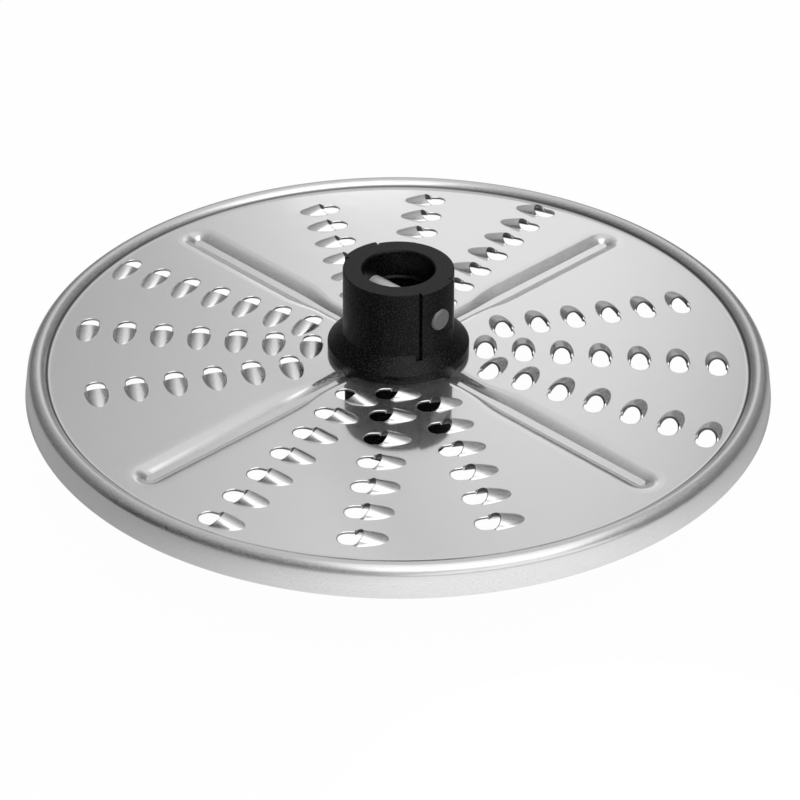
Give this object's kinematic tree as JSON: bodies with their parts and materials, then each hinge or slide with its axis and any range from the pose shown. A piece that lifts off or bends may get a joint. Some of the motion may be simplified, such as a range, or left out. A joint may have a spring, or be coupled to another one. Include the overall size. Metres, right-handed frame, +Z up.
{
  "type": "food processor grating disc",
  "caption": "Round pressed steel grating disc with rows of raised scoop teeth and a plain rim, on a moulded drive hub with a steel cross pin.",
  "frame": {"origin": "on the axis of rotation, at the foot of the hub", "axes": "+Z up along the axis, out of the toothed face; +X to the right and +Y to the back in the picture"},
  "size_m": [0.1896, 0.1896, 0.05],
  "materials": {
    "plate_steel": "satin pressed stainless sheet",
    "hub_plastic": "fine-grained black moulding",
    "pin_steel": "ground steel with a turned end"
  },
  "bodies": {
    "root": {"grating_disc": "plate_steel", "hub": "hub_plastic", "drive_pin": "pin_steel"}
  },
  "joints": []
}
